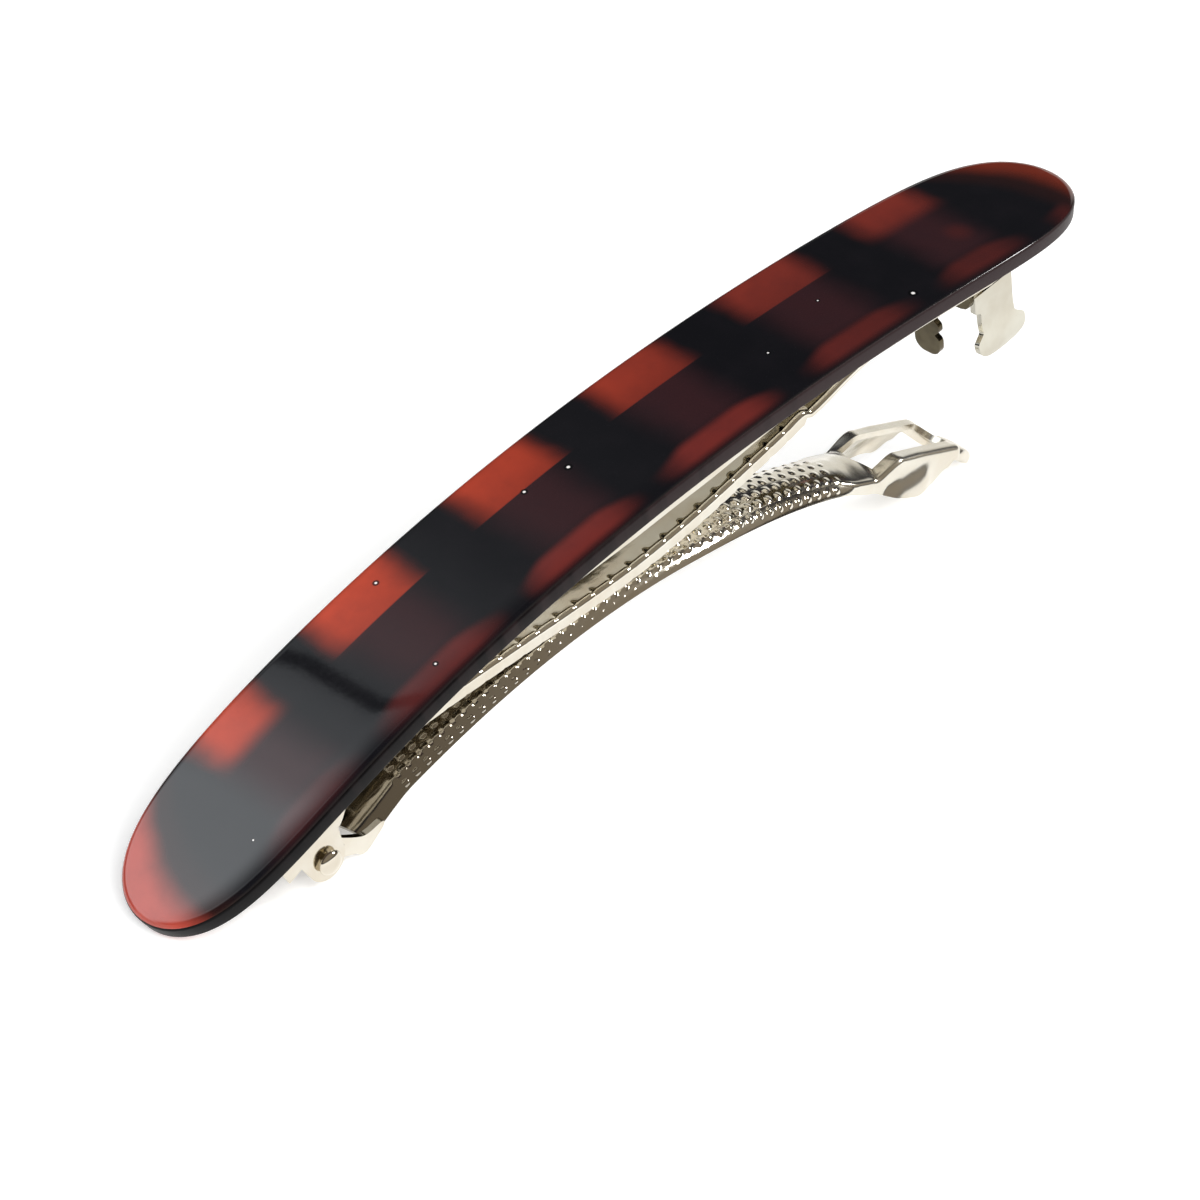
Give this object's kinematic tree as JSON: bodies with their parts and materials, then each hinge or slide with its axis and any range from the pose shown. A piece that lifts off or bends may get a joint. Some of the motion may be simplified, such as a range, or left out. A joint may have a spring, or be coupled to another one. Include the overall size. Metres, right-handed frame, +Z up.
{
  "type": "automatic barrette",
  "caption": "Curved polished acetate bar on a sprung metal clip, with a hinged dimpled arm, a bowed tension bar and a toothed catch with release ears",
  "frame": {"origin": "under the middle of the open barrette, on the surface it rests on", "axes": "+X from the hinge to the catch, +Y across the bar, +Z up, with the polished face upward"},
  "size_m": [0.0958, 0.0132, 0.0237],
  "materials": {
    "acetate": "polished laminated tortoiseshell acetate, black with red blocks",
    "nickel": "bright nickel plated spring steel"
  },
  "bodies": {
    "bar": {"acetate_bar": "acetate", "base_plate": "nickel", "tension_bar": "nickel", "hinge_pin": "nickel"},
    "arm": {"clasp_arm": "nickel"}
  },
  "joints": [
    {"name": "clasp_hinge", "type": "hinge", "parent": "bar", "child": "arm", "pos_m": [-0.03511, 0, 0.00232], "axis": [0, 1, 0], "range_deg": [-10, 45], "stiffness_Nm_per_rad": 0.5, "springref_deg": 0.4, "deforming": ["tension_bar"]}
  ]
}
